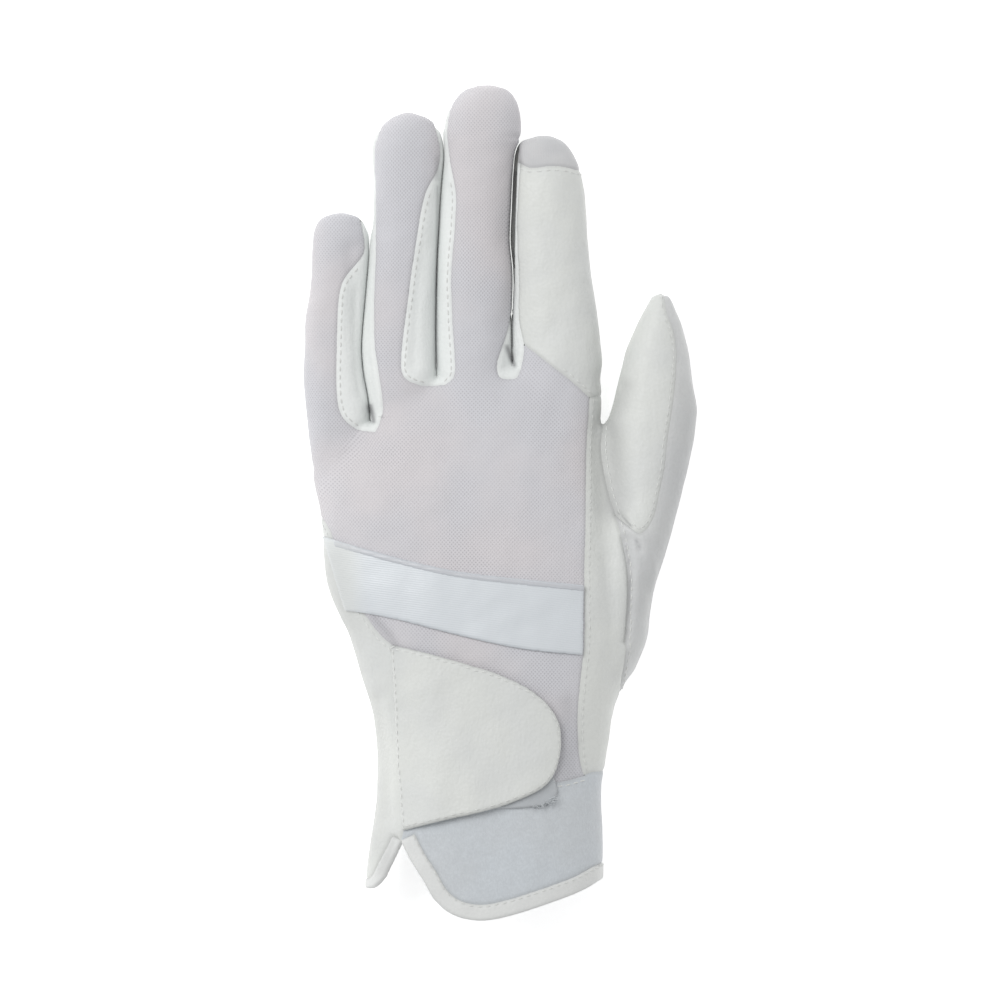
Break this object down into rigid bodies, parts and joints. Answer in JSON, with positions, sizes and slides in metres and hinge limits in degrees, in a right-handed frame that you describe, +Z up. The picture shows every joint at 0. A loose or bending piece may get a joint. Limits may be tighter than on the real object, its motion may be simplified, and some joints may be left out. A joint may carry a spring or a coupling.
{
  "type": "horse riding glove",
  "caption": "Left hand riding glove with a mesh back, leather palm, index finger and thumb, an elastic knuckle band and a wrist tab over a bound cuff.",
  "frame": {"origin": "middle of the palm, on the surface that the glove lies on", "axes": "+X across the hand towards the thumb, +Y towards the fingertips, +Z up out of the back of the hand"},
  "size_m": [0.1132, 0.2395, 0.0374],
  "materials": {
    "spacer_mesh": "knitted spacer mesh with fine holes",
    "leather": "smooth white leather with a fine grain",
    "stretch_fabric": "matt stretch fabric",
    "elastic": "shiny woven elastic",
    "loop_fabric": "brushed loop fabric",
    "binding": "folded soft leather binding"
  },
  "bodies": {
    "root": {"back_mesh": "spacer_mesh", "palm": "leather", "index_back": "leather", "index_tip": "stretch_fabric", "side_strip_little_ring": "leather", "side_strip_ring_middle": "leather", "side_strip_middle_index": "leather", "radial_panel": "leather", "thumb_back": "leather", "thumb_palm": "leather", "ulnar_panel": "leather", "cuff_flap": "loop_fabric", "cuff_binding": "binding", "tail_binding": "binding", "palm_binding": "binding", "knuckle_strap": "elastic", "strap_trim": "elastic", "closure_tab": "leather", "loop_patch": "loop_fabric"}
  },
  "joints": []
}
